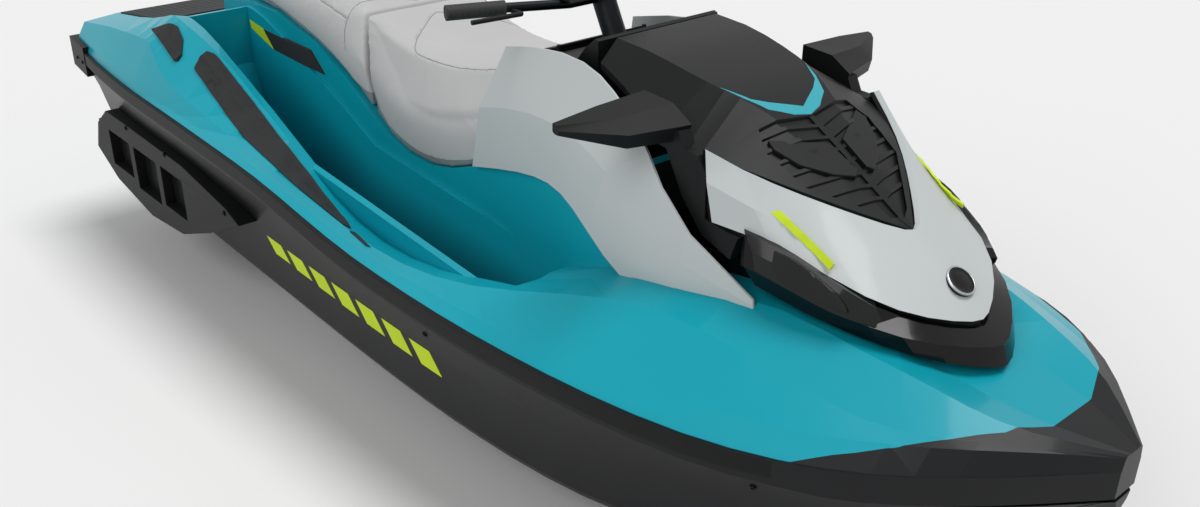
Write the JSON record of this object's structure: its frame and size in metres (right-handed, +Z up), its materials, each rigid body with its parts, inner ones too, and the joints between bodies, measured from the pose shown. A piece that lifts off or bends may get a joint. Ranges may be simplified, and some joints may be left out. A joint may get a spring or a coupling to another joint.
{
  "type": "personal watercraft",
  "caption": "Three-seat personal watercraft with faceted deck, opening front hood, turning handlebar, long saddle and water jet drive with reverse gate",
  "frame": {"origin": "Point on the centreline in the calm water plane, under the rider", "axes": "X forward, Y to port, Z up"},
  "size_m": [3.31, 1.25, 1.14],
  "materials": {
    "deck_teal": "glossy",
    "hull_charcoal": "glossy",
    "trim_black": "matte",
    "panel_white": "glossy",
    "gloss_black": "glossy",
    "seat_vinyl": "satin",
    "grip_rubber": "matte",
    "foam_mat": "matte",
    "cast_aluminium": "satin",
    "stainless_steel": "satin"
  },
  "bodies": {
    "craft": {"deck": "deck_teal", "hull": "hull_charcoal", "bow_cap": "trim_black", "rub_rail_port": "trim_black", "rub_rail_starboard": "trim_black", "stern_bumpers": "trim_black", "storage_bin": "trim_black", "console": "trim_black", "steering_collar": "trim_black", "grab_handle": "trim_black", "sponson_port": "trim_black", "sponson_starboard": "trim_black", "side_panel_port": "panel_white", "side_panel_starboard": "panel_white", "gauge": "gloss_black", "seat_front": "seat_vinyl", "stern_mat": "foam_mat", "footwell_mats": "foam_mat", "jet_pump": "cast_aluminium", "ride_plate": "cast_aluminium", "intake_grate": "cast_aluminium", "engine_block": "cast_aluminium", "ladder_brackets": "stainless_steel", "bow_eye": "stainless_steel"},
    "hood": {"hood_top": "trim_black", "nose_panel": "panel_white", "front_fascia": "gloss_black", "hood_liner": "trim_black", "hood_side_bands": "trim_black", "lamps": "gloss_black", "mirror_port": "trim_black", "mirror_starboard": "trim_black"},
    "glovebox_door": {"glovebox_lid": "trim_black"},
    "steering": {"handlebar": "cast_aluminium", "grips": "grip_rubber", "handlebar_pad": "trim_black", "levers": "trim_black"},
    "rotor": {"impeller": "stainless_steel", "drive_shaft": "stainless_steel"},
    "trim": {"trim_ring": "cast_aluminium"},
    "nozzle": {"steering_nozzle": "cast_aluminium"},
    "gate": {"reverse_gate": "cast_aluminium"},
    "ladder": {"boarding_ladder": "stainless_steel"},
    "passenger_seat": {"seat_rear": "seat_vinyl"}
  },
  "joints": [
    {"name": "hood_hinge", "type": "hinge", "parent": "craft", "child": "hood", "pos_m": [0.45188, 0, 0.77868], "axis": [0, -1, 0], "range_deg": [0, 50]},
    {"name": "glovebox_hinge", "type": "hinge", "parent": "craft", "child": "glovebox_door", "pos_m": [0.23139, 0, 0.72675], "axis": [0, 1, 0], "range_deg": [0, 60]},
    {"name": "steering_turn", "type": "hinge", "parent": "craft", "child": "steering", "pos_m": [0.23999, 0, 0.80002], "axis": [-0.4695, 0, 0.8829], "range_deg": [-22, 22]},
    {"name": "rotor_spin", "type": "hinge", "parent": "craft", "child": "rotor", "pos_m": [-1.16, 0, -0.06501], "axis": [1, 0, 0], "continuous": true},
    {"name": "trim_tilt", "type": "hinge", "parent": "craft", "child": "trim", "pos_m": [-1.42502, 0, -0.06501], "axis": [0, 1, 0], "range_deg": [-6, 10]},
    {"name": "nozzle_turn", "type": "hinge", "parent": "trim", "child": "nozzle", "pos_m": [-1.45802, 0, -0.06501], "axis": [0, 0, -1], "range_deg": [-20, 20]},
    {"name": "gate_drop", "type": "hinge", "parent": "craft", "child": "gate", "pos_m": [-1.44252, 0, -0.06501], "axis": [0, -1, 0], "range_deg": [0, 75]},
    {"name": "ladder_fold", "type": "hinge", "parent": "craft", "child": "ladder", "pos_m": [-1.67728, 0, 0.216], "axis": [0, -1, 0], "range_deg": [0, 170]},
    {"name": "seat_lift", "type": "slide", "parent": "craft", "child": "passenger_seat", "axis": [-0.2496, 0, 0.9683], "range_m": [0, 0.35]}
  ],
  "couplings": [
    {"joint": "nozzle_turn", "follows": "steering_turn", "ratio": 0.9}
  ]
}
